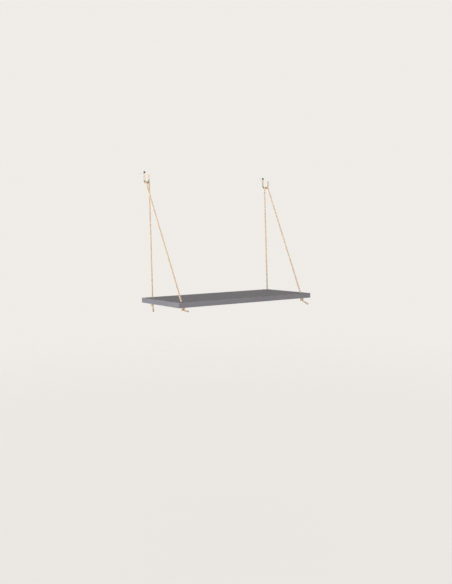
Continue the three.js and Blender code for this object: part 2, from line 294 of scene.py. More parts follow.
board_low, board_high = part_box("shelf_board")
board_half = board_high.x
hook_x = board_half - HOOK_SIDE_INSET
hole_x = board_half - HOLE_SIDE_INSET
front_hole_y = board_low.y + HOLE_FRONT_INSET
rear_hole_y = board_high.y - HOLE_REAR_INSET
rope_radius = ROPE_DIAMETER / 2
strand_pivot_z = board_high.z - MOUTH_DEPTH
crown_reach = HOOK_BEND_RADIUS - STRIP_THICKNESS - rope_radius - ROPE_SEAT
crown_y = -HOOK_BEND_RADIUS - crown_reach * math.sin(CROWN_LEAN)
crown_z = -PLATE_BELOW_SCREW - crown_reach * math.cos(CROWN_LEAN)


def add_camera():
    camera = bpy.data.objects.new("camera", bpy.data.cameras.new("camera"))
    camera.data.sensor_fit = "HORIZONTAL"
    camera.data.sensor_width = CAMERA_SENSOR
    camera.data.lens = CAMERA_LENS
    turn = Matrix.Rotation(-CAMERA_YAW, 4, "Z") @ Matrix.Rotation(math.pi / 2 - CAMERA_PITCH, 4, "X")
    turn = turn @ Matrix.Rotation(CAMERA_ROLL, 4, "Z")
    camera.matrix_world = Matrix.Translation(CAMERA_PLACE) @ turn
    bpy.context.scene.collection.objects.link(camera)
    bpy.context.scene.camera = camera


# Meshes
def add_mesh(name, vertices, faces, smooth=True):
    mesh = bpy.data.meshes.new(name)
    mesh.from_pydata([tuple(v) for v in vertices], [], faces)
    mesh.polygons.foreach_set("use_smooth", [smooth] * len(mesh.polygons))
    mesh.update()
    piece = bpy.data.objects.new(name, mesh)
    bpy.context.scene.collection.objects.link(piece)
    return piece


def sharpen(piece, angle):
    """Shade the piece smooth, but for the edges that turn by more than the angle."""
    piece.data.polygons.foreach_set("use_smooth", [True] * len(piece.data.polygons))
    piece.data.set_sharp_from_angle(angle=angle)


def apply_modifiers(piece):
    bpy.context.view_layer.update()
    evaluated = piece.evaluated_get(bpy.context.evaluated_depsgraph_get())
    mesh = bpy.data.meshes.new_from_object(evaluated)
    piece.modifiers.clear()
    piece.data = mesh
    return piece


def cut(piece, cutter):
    modifier = piece.modifiers.new("cut", "BOOLEAN")
    modifier.operation = "DIFFERENCE"
    modifier.solver = "EXACT"
    modifier.object = cutter
    apply_modifiers(piece)
    bpy.data.objects.remove(cutter)
    return piece


def ease_edges(piece, width, steps):
    modifier = piece.modifiers.new("ease", "BEVEL")
    modifier.width = width
    modifier.segments = steps
    modifier.limit_method = "ANGLE"
    modifier.angle_limit = EASED_ANGLE
    modifier.harden_normals = True
    return apply_modifiers(piece)


def box_piece(name, low, high):
    x_pair, y_pair, z_pair = zip(low, high)
    corners = [(x, y, z) for x in x_pair for y in y_pair for z in z_pair]
    faces = [(0, 1, 3, 2), (4, 6, 7, 5), (0, 4, 5, 1), (2, 3, 7, 6), (0, 2, 6, 4), (1, 5, 7, 3)]
    return add_mesh(name, corners, faces, smooth=False)


def turned(name, rings, steps):
    """A closed piece turned round the Y axis.

    Each ring is its place along Y and a function that gives its radius at an angle.
    """
    vertices = []
    for along, radius_at in rings:
        for step in range(steps):
            angle = 2 * math.pi * step / steps
            radius = radius_at(angle)
            vertices.append((radius * math.sin(angle), along, radius * math.cos(angle)))
    faces = []
    for ring in range(len(rings) - 1):
        for step in range(steps):
            here = ring * steps + step
            beside = ring * steps + (step + 1) % steps
            faces.append((here, beside, beside + steps, here + steps))
    last = (len(rings) - 1) * steps
    faces.append(tuple(reversed(range(steps))))
    faces.append(tuple(range(last, last + steps)))
    return add_mesh(name, vertices, faces)


def plain(radius):
    """A ring of the same radius all round."""
    return lambda angle: radius


def drill(diameter, start, end, sides):
    """A round tool along Y."""
    return turned("drill", [(start, plain(diameter / 2)), (end, plain(diameter / 2))], sides)


def side_name(side):
    return "left" if side < 0 else "right"


def place(piece, x, body):
    """Move the piece sideways to its hook and let it ride on the body."""
    piece.data.transform(Matrix.Translation((x, 0, 0)))
    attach(piece, body)
    return piece


# Rope routes
def strand_line(side, is_front):
    """The foot and the start of one hanging strand, and its way down for each metre of drop."""
    reach = 1 if is_front else -1
    foot = Vector((side * hole_x, front_hole_y if is_front else rear_hole_y, strand_pivot_z))
    start_x = side * (hook_x + reach * STRAND_SPREAD / 2)
    start = Vector((start_x, crown_y - reach * STRAND_SKEW / 2, crown_z))
    return foot, start, (foot - start) / (start.z - foot.z)


def bezier(points, steps):
    """The cubic curve from the first point to the last, drawn by the two between them."""
    shares = [step / steps for step in range(steps + 1)]
    return [
        points[0] * (1 - s) ** 3
        + points[1] * 3 * s * (1 - s) ** 2
        + points[2] * 3 * s * s * (1 - s)
        + points[3] * s**3
        for s in shares
    ]


def bend_points(side, is_front):
    """From the end of the rope's crown on the hook, round the bend and down to the strand's foot."""
    foot, start, down = strand_line(side, is_front)
    outward = side if is_front else -side
    crown_end = Vector((side * hook_x + outward * CROWN_HALF_LENGTH, crown_y, crown_z))
    end = start + down * BEND_DROP
    handle = BEND_HANDLE_SHARE * (STRAND_SPREAD / 2 - CROWN_HALF_LENGTH)
    handles = [crown_end + X * outward * handle, end - down * BEND_HANDLE_SHARE * BEND_DROP]
    return bezier([crown_end, *handles, end], BEND_STEPS) + [foot]


def hanging_route(side):
    """From the rear hole over the hook to the front hole."""
    return list(reversed(bend_points(side, False))) + bend_points(side, True)


def catmull_rom(points, steps):
    """The centripetal curve through the points."""
    ends = [points[0] * 2 - points[1], *points, points[-1] * 2 - points[-2]]
    route = []
    for a, b, c, d in zip(ends, ends[1:], ends[2:], ends[3:]):
        t1 = math.sqrt((b - a).length)
        t2 = t1 + math.sqrt((c - b).length)
        t3 = t2 + math.sqrt((d - c).length)
        for step in range(steps):
            t = t1 + (t2 - t1) * step / steps
            ab = a.lerp(b, t / t1)
            bc = b.lerp(c, (t - t1) / (t2 - t1))
            cd = c.lerp(d, (t - t2) / (t3 - t2))
            abc = ab.lerp(bc, t / t2)
            bcd = bc.lerp(cd, (t - t1) / (t3 - t1))
            route.append(abc.lerp(bcd, (t - t1) / (t2 - t1)))
    return route + [points[-1]]


def knot_points():
    """The knot round its own middle, with the standing end of the rope on the Z axis."""
    half = [Vector(share) for share in KNOT_HALF_ROUTE_SHARES]
    other = [Vector((p.x, -p.y, -p.z)) for p in reversed(half[:-1])]
    flattened = Vector((KNOT_WIDENING_SHARE, KNOT_WIDENING_SHARE, 1)) * KNOT_STRAND_SPACING
    return [(p - X * half[0].x) * flattened for p in half + other]


def knot_drop(knot):
    """How far the knot's middle hangs under the board once it is drawn up to the eased rim of its hole."""
    clear = BOARD_EDGE_EASE + KNOT_ROPE_DIAMETER / 2 + KNOT_SEAT
    rim_radius = BOARD_EDGE_EASE + HOLE_DIAMETER / 2
    drops = []
    for point in knot:
        inside = max(0, rim_radius - math.hypot(point.x, point.y))
        drops.append(point.z + math.sqrt(max(0, clear**2 - inside**2)) - BOARD_EDGE_EASE)
    return max(drops)


def hole_mouths(side, is_front):
    """Where the rope's line enters the hole and where it leaves it under the board."""
    foot, _, down = strand_line(side, is_front)
    return foot, foot + down * (foot.z - board_low.z)


def rope_end_route(side, is_front, length, heading, droop):
    """From the top of a hole down through the board and the stopper knot to the end of the tail."""
    foot, mouth = hole_mouths(side, is_front)
    knot = knot_points()
    centre = mouth - Z * knot_drop(knot)
    turn = Matrix.Rotation(heading - TAIL_CLEAR_HEADING, 3, "Z")
    knot = [centre + turn @ p for p in knot]
    level = Vector((math.cos(heading), math.sin(heading), 0))
    way = level * math.cos(droop) - Z * math.sin(droop)
    leave = knot[-1]
    bend = leave - Z * TAIL_EXIT_DROP
    end = bend + way * length
    shares = [(step + 1) / TAIL_STEPS for step in range(TAIL_STEPS)]
    tail_points = [leave * (1 - s) ** 2 + bend * 2 * s * (1 - s) + end * s * s for s in shares]
    return catmull_rom([foot, mouth, *knot, *tail_points], KNOT_CURVE_STEPS)


def even_spacing(route, step):
    """The route resampled at an even spacing, with the distance along it of each point."""
    points = np.array([tuple(p) for p in route])
    keep = np.r_[True, np.linalg.norm(np.diff(points, axis=0), axis=1) > SAME_PLACE]
    points = points[keep]
    distance = np.r_[0, np.cumsum(np.linalg.norm(np.diff(points, axis=0), axis=1))]
    count = max(2, round(distance[-1] / step))
    even = np.linspace(0, distance[-1], count + 1)
    return np.stack([np.interp(even, distance, points[:, axis]) for axis in range(3)], 1), even


def carried_frames(points):
    """A normal and a binormal at each point, carried along without twist."""
    tangents = np.gradient(points, axis=0)
    tangents /= np.linalg.norm(tangents, axis=1, keepdims=True)
    normals = np.zeros_like(points)
    normal = np.cross(tangents[0], NORMAL_HINT)
    for ring, tangent in enumerate(tangents):
        normal = normal - tangent * np.dot(normal, tangent)
        normal /= np.linalg.norm(normal)
        normals[ring] = normal
    return tangents, normals, np.cross(tangents, normals)


def strand_section():
    """The rope's outline at each side: angle, share of the radius, and the angle round its own strand."""
    angles = 2 * math.pi * np.arange(ROPE_SIDES) / ROPE_SIDES
    strand_turn = 2 * math.pi / ROPE_STRANDS
    middles = (np.floor(angles / strand_turn) + 0.5) * strand_turn
    off = angles - middles
    core = 1 - STRAND_SHARE
    shares = core * np.cos(off) + np.sqrt(STRAND_SHARE**2 - (core * np.sin(off)) ** 2)
    across = shares * np.sin(off)
    outward = shares * np.cos(off) - core
    return angles, shares, middles + np.arctan2(across, outward)


def fibre_tubes(roots, ways, lengths, rng):
    """Thin curved tubes that taper to their tips: vertices and faces."""
    count = len(roots)
    aside = np.cross(ways, rng.normal(size=(count, 3)))
    aside /= np.linalg.norm(aside, axis=1, keepdims=True)
    third = np.cross(ways, aside)
    curl = rng.uniform(*FIBRE_CURL, (count, 1)) * aside
    corners = []
    for share in FIBRE_RING_SHARES:
        middle = roots + lengths[:, None] * (ways * share + curl * share**2)
        radius = FIBRE_RADIUS * (1 - FIBRE_TAPER_SHARE * share)
        for corner in range(FIBRE_SIDES):
            angle = 2 * math.pi * corner / FIBRE_SIDES
            corners.append(middle + radius * (math.cos(angle) * aside + math.sin(angle) * third))
    vertices = np.stack(corners, 1).reshape(-1, 3)
    starts = range(0, len(vertices), len(corners))
    return vertices, [face for first in starts for face in tube_faces(first)]


def tube_faces(first):
    """The faces of one fibre whose vertices start at first."""
    sides = range(FIBRE_SIDES)
    last = first + (len(FIBRE_RING_SHARES) - 1) * FIBRE_SIDES
    faces = [tuple(first + side for side in reversed(sides)), tuple(last + side for side in sides)]
    for ring in range(first, last, FIBRE_SIDES):
        for side in sides:
            here = ring + side
            beside = ring + (side + 1) % FIBRE_SIDES
            faces.append((here, beside, beside + FIBRE_SIDES, here + FIBRE_SIDES))
    return faces


def loose_fibres(points, frames, radii, hairy, rng):
    """Fibres that lift out of the rope's sides wherever hairy is true."""
    tangents, normals, binormals = frames
    rings = np.flatnonzero(hairy)
    count = round(len(rings) * ROPE_RING_STEP * FIBRES_PER_METRE)
    ring = rng.choice(rings, count)
    angle = rng.uniform(0, 2 * math.pi, (count, 1))
    outward = np.cos(angle) * normals[ring] + np.sin(angle) * binormals[ring]
    roots = points[ring] + outward * radii[ring, None] * FIBRE_ROOT_SHARE
    along = tangents[ring] * rng.choice((-1, 1), (count, 1))
    ways = along + outward * rng.uniform(*FIBRE_LIFT, (count, 1))
    ways += rng.normal(0, FIBRE_SCATTER, (count, 3))
    ways /= np.linalg.norm(ways, axis=1, keepdims=True)
    return fibre_tubes(roots, ways, rng.uniform(*FIBRE_LENGTHS, count), rng)


def end_tuft(points, frames, radii, rng):
    """Short fibres at the cut end of the rope."""
    tangents, normals, binormals = frames
    angle = rng.uniform(0, 2 * math.pi, (TUFT_FIBRES, 1))
    outward = np.cos(angle) * normals[-1] + np.sin(angle) * binormals[-1]
    reach = radii[-1] * TUFT_REACH_SHARE * np.sqrt(rng.uniform(0, 1, (TUFT_FIBRES, 1)))
    roots = points[-1] + outward * reach - tangents[-1] * ROPE_RING_STEP
    ways = tangents[-1] + outward * rng.uniform(0, TUFT_SPREAD, (TUFT_FIBRES, 1))
    ways /= np.linalg.norm(ways, axis=1, keepdims=True)
    lengths = rng.uniform(*TUFT_LENGTHS, TUFT_FIBRES) + ROPE_RING_STEP
    return fibre_tubes(roots, ways, lengths, rng)


def laid_rope(name, route, radius_at, is_hairy, cut_end=False):
    """A twisted rope along the route, with loose fibres at the points where is_hairy is true.

    radius_at takes the distance along the rope and its whole length.
    """
    points, distance = even_spacing(route, ROPE_RING_STEP)
    frames = carried_frames(points)
    radii = np.array([radius_at(d, distance[-1]) for d in distance])
    vertices = rope_surface(points, frames, radii, distance)
    faces = rope_faces(len(points))
    rng = np.random.default_rng(SEED)
    hairy = np.array([is_hairy(p) for p in points])
    fibres = [loose_fibres(points, frames, radii, hairy, rng)]
    if cut_end:
        fibres.append(end_tuft(points, frames, radii, rng))
    for fibre_vertices, fibre_faces in fibres:
        first = len(vertices)
        vertices = np.concatenate([vertices, fibre_vertices])
        faces += [tuple(first + corner for corner in face) for face in fibre_faces]
    rope = add_mesh(name, vertices, faces)
    mark_rope(rope, distance, vertices)
    return rope


def rope_surface(points, frames, radii, distance):
    """The vertices of the twisted rope, ring by ring, and then the middles of its two ends."""
    _, normals, binormals = frames
    angles, shares, _ = strand_section()
    around = angles[None, :] + 2 * math.pi * distance[:, None] / ROPE_LAY
    size = radii[:, None] * shares[None, :]
    vertices = (
        points[:, None, :]
        + (size * np.cos(around))[:, :, None] * normals[:, None, :]
        + (size * np.sin(around))[:, :, None] * binormals[:, None, :]
    )
    return np.concatenate([vertices.reshape(-1, 3), points[:1], points[-1:]])


def mark_rope(rope, distance, vertices):
    """Store what the rope's material follows: its fibres, its grooves and the distance from its end."""
    _, shares, strand_angles = strand_section()
    rings = len(distance)
    rope_vertices = rings * ROPE_SIDES + 2
    angle = strand_angles[None, :] + 2 * math.pi * distance[:, None] / ROPE_LAY
    strand_radius = rope_radius * STRAND_SHARE
    along = np.repeat(distance[:, None], ROPE_SIDES, 1)
    fibre = np.stack([strand_radius * np.cos(angle), strand_radius * np.sin(angle), along], 2)
    ends = [(0, 0, 0), (0, 0, distance[-1])]
    loose = vertices[rope_vertices:]
    fibre_space = np.concatenate([fibre.reshape(-1, 3), ends, loose])
    add_attribute(rope, "fibre_space", "FLOAT_VECTOR", fibre_space)
    groove = np.concatenate([np.tile(shares, rings), np.ones(len(ends) + len(loose))])
    add_attribute(rope, "groove", "FLOAT", groove)
    from_end = np.zeros(len(vertices))
    from_end[: rings * ROPE_SIDES] = distance[-1] - along.ravel()
    add_attribute(rope, "from_end", "FLOAT", from_end)


def add_attribute(piece, name, kind, values):
    layer = piece.data.attributes.new(name, kind, "POINT")
    field = "vector" if kind == "FLOAT_VECTOR" else "value"
    layer.data.foreach_set(field, values.astype(np.float32).ravel())


def rope_faces(rings):
    """The faces of the twisted rope, and the fans that close its two ends."""
    faces = []
    for ring in range(rings - 1):
        start = ring * ROPE_SIDES
        for side in range(ROPE_SIDES):
            here = start + side
            beside = start + (side + 1) % ROPE_SIDES
            faces.append((here, beside, beside + ROPE_SIDES, here + ROPE_SIDES))
    first_centre = rings * ROPE_SIDES
    last = (rings - 1) * ROPE_SIDES
    for side in range(ROPE_SIDES):
        beside = (side + 1) % ROPE_SIDES
        faces.append((first_centre, beside, side))
        faces.append((first_centre + 1, last + side, last + beside))
    return faces


# Materials
def new_material(name):
    """A material, its node tree and its shader."""
    material = bpy.data.materials.new(name)
    material.use_nodes = True
    tree = material.node_tree
    return material, tree, tree.nodes["Principled BSDF"]


def noise(tree, vector, scale, detail):
    node = tree.nodes.new("ShaderNodeTexNoise")
    node.inputs["Scale"].default_value = scale
    node.inputs["Detail"].default_value = detail
    node.inputs["Roughness"].default_value = NOISE_ROUGHNESS
    tree.links.new(vector, node.inputs["Vector"])
    return node.outputs["Fac"]


def stretched(tree, vector, fineness):
    """The vector with each of its parts made larger, so that a pattern on it grows finer."""
    node = tree.nodes.new("ShaderNodeMapping")
    node.inputs["Scale"].default_value = fineness
    tree.links.new(vector, node.inputs["Vector"])
    return node.outputs["Vector"]


def object_space(tree):
    return tree.nodes.new("ShaderNodeTexCoord").outputs["Object"]


def attribute(tree, name, output):
    node = tree.nodes.new("ShaderNodeAttribute")
    node.attribute_name = name
    return node.outputs[output]


def ramp(tree, value, stops, colors):
    """A colour that goes through the colours as the value goes through the stops."""
    node = tree.nodes.new("ShaderNodeValToRGB")
    elements = node.color_ramp.elements
    while len(elements) < len(stops):
        elements.new(position=0.5)
    for element, position, color in zip(elements, stops, colors):
        element.position = position
        element.color = (*color, 1)
    tree.links.new(value, node.inputs["Fac"])
    return node.outputs["Color"]


def grey_ramp(tree, value, span, dark, light):
    """A grey that goes from dark to light over the span of the value."""
    return ramp(tree, value, span, [(dark,) * 3, (light,) * 3])


def feed(tree, socket, value):
    """Join a socket to another, or give it a value of its own."""
    if hasattr(value, "links"):
        tree.links.new(value, socket)
    else:
        socket.default_value = value


def math_node(tree, operation, *values):
    node = tree.nodes.new("ShaderNodeMath")
    node.operation = operation
    for socket, value in zip(node.inputs, values):
        feed(tree, socket, value)
    return node.outputs["Value"]


def mix_color(tree, share, first, second, blend="MIX"):
    node = tree.nodes.new("ShaderNodeMix")
    node.data_type = "RGBA"
    node.blend_type = blend
    feed(tree, named_socket(node.inputs, "Factor_Float"), share)
    feed(tree, named_socket(node.inputs, "A_Color"), first)
    feed(tree, named_socket(node.inputs, "B_Color"), second)
    return named_socket(node.outputs, "Result_Color")


def named_socket(sockets, identifier):
    """A mix node has several sockets of one name, which differ in their identifiers."""
    return next(socket for socket in sockets if socket.identifier == identifier)


def multiply_color(tree, first, second):
    return mix_color(tree, 1.0, first, second, "MULTIPLY")


def add_bump(tree, shader, height, depth, strength):
    """Bump the surface by a height, on top of any bump that it has already."""
    node = tree.nodes.new("ShaderNodeBump")
    node.inputs["Distance"].default_value = depth
    node.inputs["Strength"].default_value = strength
    tree.links.new(height, node.inputs["Height"])
    normal = shader.inputs["Normal"]
    if normal.is_linked:
        tree.links.new(normal.links[0].from_socket, node.inputs["Normal"])
    tree.links.new(node.outputs["Normal"], normal)


def board_edges(tree, space):
    """1 along the board's edges, where two of its faces meet, and 0 inside its faces."""
    split = tree.nodes.new("ShaderNodeSeparateXYZ")
    tree.links.new(space, split.inputs["Vector"])
    near_faces = -1
    for axis, name in enumerate("XYZ"):
        middle = (board_low[axis] + board_high[axis]) / 2
        half = (board_high[axis] - board_low[axis]) / 2
        off_middle = math_node(tree, "ABSOLUTE", math_node(tree, "SUBTRACT", split.outputs[name], middle))
        near = tree.nodes.new("ShaderNodeMapRange")
        near.inputs["From Min"].default_value = half - EDGE_WEAR_WIDTH
        near.inputs["From Max"].default_value = half
        tree.links.new(off_middle, near.inputs["Value"])
        near_faces = math_node(tree, "ADD", near.outputs["Result"], near_faces)
    return math_node(tree, "MAXIMUM", near_faces, 0)


def painted_board():
    """Satin paint rolled over wood, with the grain showing faintly and the edges rubbed in places."""
    material, tree, shader = new_material("grey_paint")
    space = object_space(tree)
    patches = noise(tree, space, scale=9, detail=3)
    color = ramp(tree, patches, PAINT_PATCH_SPAN, (PAINT_DARK, PAINT_LIGHT))
    grain = noise(tree, stretched(tree, space, BOARD_GRAIN_FINENESS), scale=1, detail=5)
    color = multiply_color(tree, color, grey_ramp(tree, grain, BOARD_GRAIN_SPAN, dark=0.94, light=1))
    wear = noise(tree, space, scale=70, detail=3)
    rubbed = grey_ramp(tree, wear, RUBBED_SPAN, dark=0, light=0.7)
    worn = math_node(tree, "MULTIPLY", board_edges(tree, space), rubbed)
    color = mix_color(tree, worn, color, (*PAINT_WORN, 1))
    tree.links.new(color, shader.inputs["Base Color"])
    rough = grey_ramp(tree, patches, EVEN_SPAN, dark=0.56, light=0.66)
    tree.links.new(rough, shader.inputs["Roughness"])
    shader.inputs["Specular IOR Level"].default_value = 0.3
    rolled = noise(tree, stretched(tree, space, ROLLED_FINENESS), scale=160, detail=3)
    stipple = noise(tree, space, scale=1100, detail=2)
    add_bump(tree, shader, grain, depth=GRAIN_DEPTH, strength=0.5)
    add_bump(tree, shader, rolled, depth=ROLLED_DEPTH, strength=0.4)
    add_bump(tree, shader, stipple, depth=STIPPLE_DEPTH, strength=0.6)
    return material


def yarn_ridges(tree, space):
    """The yarns round each strand, a little uneven."""
    split = tree.nodes.new("ShaderNodeSeparateXYZ")
    tree.links.new(space, split.inputs["Vector"])
    angle = math_node(tree, "ARCTAN2", split.outputs["Y"], split.outputs["X"])
    uneven = noise(tree, stretched(tree, space, YARN_FINENESS), scale=1, detail=2)
    turn = math_node(tree, "MULTIPLY_ADD", angle, YARNS_PER_STRAND, uneven)
    return math_node(tree, "SINE", turn)


def jute_rope(name, groove_shade, tail_painted_shade):
    """Twisted jute. groove_shade sets the painted shade in its grooves, the gaps between yarns get painted
    shade too, and the last argument paints shade onto the last stretch before a cut end, standing in for
    the board's shade over the knots.
    """
    material, tree, shader = new_material(name)
    space = attribute(tree, "fibre_space", "Vector")
    fibres = noise(tree, stretched(tree, space, FIBRE_FINENESS), scale=1, detail=3)
    yarns = yarn_ridges(tree, space)
    patches = noise(tree, stretched(tree, space, PATCH_FINENESS), scale=1, detail=2)
    color = ramp(tree, fibres, JUTE_STOPS, (JUTE_DARK, JUTE_MIDDLE, JUTE_LIGHT))
    warm = ramp(tree, patches, EVEN_SPAN, (JUTE_WARM_TINT, NO_TINT))
    color = multiply_color(tree, color, warm)
    # Painted shade: this tint darkens the last stretch before a cut end, where the board shades the
    # knotted tails
    from_end = attribute(tree, "from_end", "Fac")
    painted_shade_near_end = grey_ramp(tree, from_end, TAIL_SHADE_SPAN, dark=1, light=0)
    color = mix_color(tree, painted_shade_near_end, color, multiply_color(tree, color, (*tail_painted_shade, 1)))
    # Painted shade in the gaps between the yarns and in the grooves between the strands
    painted_shade_between_yarns = grey_ramp(tree, yarns, YARN_GAP_SPAN, dark=0.82, light=1)
    color = multiply_color(tree, color, painted_shade_between_yarns)
    groove = attribute(tree, "groove", "Fac")
    color = multiply_color(tree, color, grey_ramp(tree, groove, GROOVE_SPAN, dark=groove_shade, light=1))
    tree.links.new(color, shader.inputs["Base Color"])
    shader.inputs["Roughness"].default_value = 0.85
    shader.inputs["Sheen Weight"].default_value = 0.25
    shader.inputs["Sheen Roughness"].default_value = 0.5
    add_bump(tree, shader, yarns, depth=YARN_DEPTH, strength=0.8)
    add_bump(tree, shader, fibres, depth=FIBRE_DEPTH, strength=0.7)
    return material


def satin_brass():
    """Brass with fine scratches along the strip and a little tarnish."""
    material, tree, shader = new_material("satin_brass")
    space = object_space(tree)
    scratches = noise(tree, stretched(tree, space, SCRATCH_FINENESS), scale=1, detail=4)
    tarnish = noise(tree, space, scale=220, detail=3)
    color = ramp(tree, tarnish, EVEN_SPAN, (BRASS_DARK, BRASS_LIGHT))
    tree.links.new(color, shader.inputs["Base Color"])
    shader.inputs["Metallic"].default_value = 1
    rough = grey_ramp(tree, scratches, EVEN_SPAN, dark=0.34, light=0.48)
    tree.links.new(rough, shader.inputs["Roughness"])
    add_bump(tree, shader, scratches, depth=FINE_DEPTH, strength=0.4)
    return material


def dark_steel():
    """Dark steel, rubbed brighter in spots."""
    material, tree, shader = new_material("dark_steel")
    wear = noise(tree, object_space(tree), scale=700, detail=4)
    color = ramp(tree, wear, STEEL_WEAR_SPAN, (STEEL_DARK, STEEL_LIGHT))
    tree.links.new(color, shader.inputs["Base Color"])
    shader.inputs["Metallic"].default_value = 0.9
    rough = grey_ramp(tree, wear, EVEN_SPAN, dark=0.35, light=0.55)
    tree.links.new(rough, shader.inputs["Roughness"])
    add_bump(tree, shader, wear, depth=FINE_DEPTH, strength=0.4)
    return material


def plug_plastic():
    """Matte plastic with a fine moulded grain."""
    material, tree, shader = new_material("plug_plastic")
    grain = noise(tree, object_space(tree), scale=1500, detail=2)
    color = ramp(tree, grain, EVEN_SPAN, (PLASTIC_DARK, PLASTIC_LIGHT))
    tree.links.new(color, shader.inputs["Base Color"])
    shader.inputs["Roughness"].default_value = 0.6
    add_bump(tree, shader, grain, depth=FINE_DEPTH, strength=0.4)
    return material


def finish_piece(piece, material):
    piece.data.materials.clear()
    piece.data.materials.append(material)


# Pieces
def make_board(material):
    board = box_piece("shelf_board_painted", board_low, board_high)
    for side in (-1, 1):
        for is_front in (True, False):
            foot, mouth = hole_mouths(side, is_front)
            slant = Y.rotation_difference(mouth - foot).to_matrix().to_4x4()
            tool = drill(HOLE_DIAMETER, -LONG_TOOL_REACH, LONG_TOOL_REACH, HOLE_SIDES)
            tool.data.transform(Matrix.Translation(foot) @ slant)
            cut(board, tool)
    ease_edges(board, BOARD_EDGE_EASE, BOARD_EDGE_STEPS)
    finish_piece(board, material)
    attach(board, "shelf")
    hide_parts("shelf_board")


def hook_place(distance, across, outward):
    """A point of the hook, this far along the strip from the plate's top and off its middle line."""
    radius = HOOK_BEND_RADIUS - STRIP_THICKNESS / 2
    before_curl = PLATE_ABOVE_SCREW + PLATE_BELOW_SCREW - distance
    turn = min(max(-before_curl / radius, 0), math.pi)
    straight = max(before_curl, 0, -before_curl - math.pi * radius)
    y = -HOOK_BEND_RADIUS + (radius + outward) * math.cos(turn)
    z = -PLATE_BELOW_SCREW - (radius + outward) * math.sin(turn) + straight
    return across, y, z


def strip_outline(half_width, half_thickness):
    """The strip's section with eased corners, as (across, outward)."""
    ease = STRIP_EDGE_EASE
    outline = []
    for corner, (right, out) in enumerate(((1, 1), (-1, 1), (-1, -1), (1, -1))):
        for step in range(STRIP_EASE_STEPS + 1):
            angle = (corner + step / STRIP_EASE_STEPS) * math.pi / 2
            across = right * (half_width - ease) + ease * math.cos(angle)
            outline.append((across, out * (half_thickness - ease) + ease * math.sin(angle)))
    return outline


def rounded(distance, radius):
    """Half-width of a round end of this radius, this far from its tip."""
    inside = radius - min(distance, radius)
    return math.sqrt(radius**2 - inside**2)


def strip_distances(length):
    """Places along the strip, closer together at its round ends."""
    half = STRIP_WIDTH / 2
    turns = [math.pi / 2 * step / STRIP_END_STEPS for step in range(STRIP_END_STEPS)]
    near_top = [half * (1 - math.cos(turn)) for turn in turns]
    middle = [half + (length - 2 * half) * step / STRIP_STEPS for step in range(STRIP_STEPS + 1)]
    return near_top + middle + [length - distance for distance in reversed(near_top)]


def bent_strip(name):
    """The whole hook as one skin over its sections."""
    curl = math.pi * (HOOK_BEND_RADIUS - STRIP_THICKNESS / 2)
    length = PLATE_ABOVE_SCREW + 2 * PLATE_BELOW_SCREW - TIP_BELOW_SCREW + curl
    vertices = []
    for distance in strip_distances(length):
        to_end = min(distance, length - distance)
        width = max(rounded(to_end, STRIP_WIDTH / 2), STRIP_EDGE_EASE)
        thickness = STRIP_THICKNESS / 2 - STRIP_EDGE_EASE + rounded(to_end, STRIP_EDGE_EASE)
        outline = strip_outline(width, thickness)
        vertices += [hook_place(distance, *spot) for spot in outline]
    sides = len(outline)
    faces = [tuple(range(sides)), tuple(reversed(range(len(vertices) - sides, len(vertices))))]
    for first in range(0, len(vertices) - sides, sides):
        for step in range(sides):
            beside = (step + 1) % sides
            faces.append((first + step, first + sides + step, first + sides + beside, first + beside))
    return add_mesh(name, vertices, faces)


def make_hook(side, material):
    name = side_name(side)
    hook = bent_strip(f"{name}_strap_hook")
    cut(hook, drill(HOOK_SCREW_HOLE, -TOOL_REACH, TOOL_REACH, HOOK_HOLE_SIDES))
    sharpen(hook, HOOK_SHARP_ANGLE)
    hook.modifiers.new("flat faces", "WEIGHTED_NORMAL").keep_sharp = True
    apply_modifiers(hook)
    finish_piece(hook, material)
    place(hook, side * hook_x, "wall_fixings")
    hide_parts(f"{name}_hook")


def thread_radius(along):
    """The ring of the thread this far along the shank, as a function of the angle."""
    root = SCREW_ROOT_DIAMETER / 2
    crest = SCREW_SHANK_DIAMETER / 2
    slim = min(1, max(SCREW_POINT_SHARE, (SCREW_LENGTH - along) / SCREW_POINT_LENGTH))
    run_out = min(1, max(0, along / SCREW_PITCH - THREAD_START_TURNS))

    def radius_at(angle):
        phase = (along / SCREW_PITCH - angle / (2 * math.pi)) % 1
        ridge = (1 - abs(2 * phase - 1)) ** THREAD_CREST_POWER
        return slim * (root + (crest - root) * run_out * ridge)

    return radius_at


def screw_rings():
    """The rings of the screw from the top of its head to its point."""
    head = SCREW_HEAD_DIAMETER / 2
    rings = []
    for step in range(DOME_STEPS):
        turn = (1 - step / DOME_STEPS) * math.pi / 2
        rise = (SCREW_HEAD_HEIGHT - SCREW_HEAD_RIM) * math.sin(turn)
        radius = head * max(math.cos(turn), DOME_TIP_SHARE)
        rings.append((-SCREW_HEAD_RIM - rise, plain(radius)))
    rings.append((-SCREW_HEAD_RIM, plain(head)))
    rings.append((-SCREW_HEAD_EASE, plain(head)))
    rings.append((0, plain(head * SCREW_SEAT_SHARE)))
    for step in range(THREAD_STEPS + 1):
        along = SCREW_LENGTH * step / THREAD_STEPS
        rings.append((along, thread_radius(along)))
    return rings


def recess_cross():
    """The cross-shaped tool that sinks the recess."""
    arm = RECESS_LENGTH / 2
    half = RECESS_WIDTH / 2
    quarter = [Vector((arm, 0, -half)), Vector((arm, 0, half)), Vector((half, 0, half))]
    turns = [Matrix.Rotation(-math.pi / 2 * turn - RECESS_TURN, 3, "Y") for turn in range(4)]
    outline = [turn @ corner for turn in turns for corner in quarter]
    ends = [-2 * SCREW_HEAD_HEIGHT, RECESS_DEPTH - SCREW_HEAD_HEIGHT]
    vertices = [corner + Y * along for along in ends for corner in outline]
    count = len(outline)
    faces = [(step, count + step, count + (step + 1) % count, (step + 1) % count) for step in range(count)]
    faces.append(tuple(range(count)))
    faces.append(tuple(reversed(range(count, 2 * count))))
    return add_mesh("recess", vertices, faces, smooth=False)


